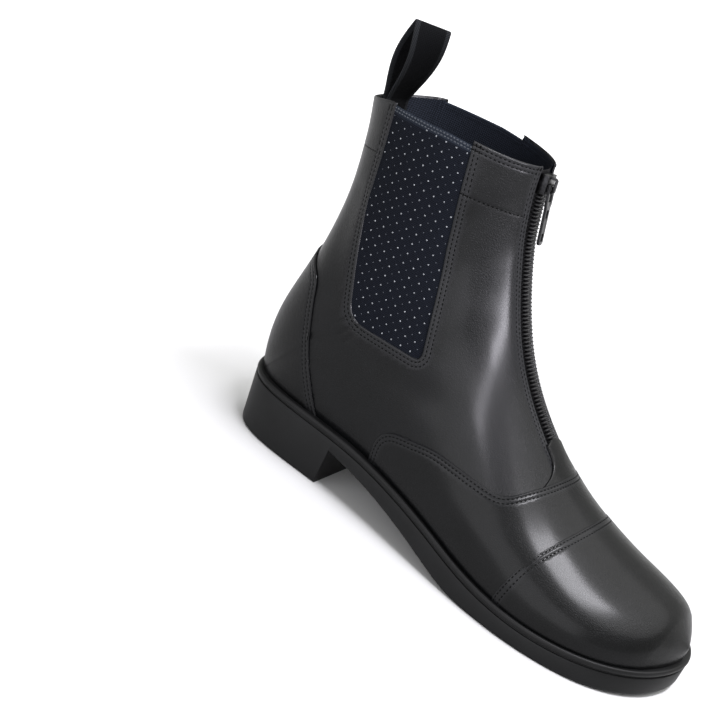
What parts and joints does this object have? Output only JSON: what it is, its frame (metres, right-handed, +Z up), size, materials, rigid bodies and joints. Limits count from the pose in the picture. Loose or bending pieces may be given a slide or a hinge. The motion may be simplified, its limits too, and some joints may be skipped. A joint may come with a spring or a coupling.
{
  "type": "jodhpur boot",
  "caption": "Ankle-height leather riding boot for the right foot, with a front zip, elastic side gussets, a webbing pull loop and a moulded rubber sole with a low heel",
  "frame": {"origin": "On the floor, under the centre of the boot's bounding box.", "axes": "+X towards the toe, +Y towards the boot's medial (inner) side, +Z up."},
  "size_m": [0.2844, 0.1054, 0.2394],
  "materials": {
    "outsole": "matte moulded rubber",
    "insole": "covered board",
    "upper": "smooth semi-gloss",
    "vamp": "smooth semi-gloss",
    "toe_cap": "smooth semi-gloss",
    "counter": "smooth semi-gloss",
    "gusset": "woven elastic",
    "zip_tape": "woven tape",
    "zip_teeth": "satin",
    "zip_metal": "dark plated",
    "pull_loop": "woven webbing"
  },
  "bodies": {
    "boot": {"outsole": "outsole", "insole": "insole", "upper": "upper", "vamp": "vamp", "toe_cap": "toe_cap", "counter": "counter", "gusset_lateral": "gusset", "gusset_medial": "gusset", "zip_tape": "zip_tape", "zip_teeth": "zip_teeth", "zip_slider": "zip_metal", "pull_loop": "pull_loop"},
    "pull_tab": {"zip_pull_tab": "zip_metal"}
  },
  "joints": [
    {"name": "pull_tab_swing", "type": "hinge", "parent": "boot", "child": "pull_tab", "pos_m": [-0.03356, 0.00384, 0.19844], "axis": [0, -1, 0], "range_deg": [-2, 160]}
  ]
}
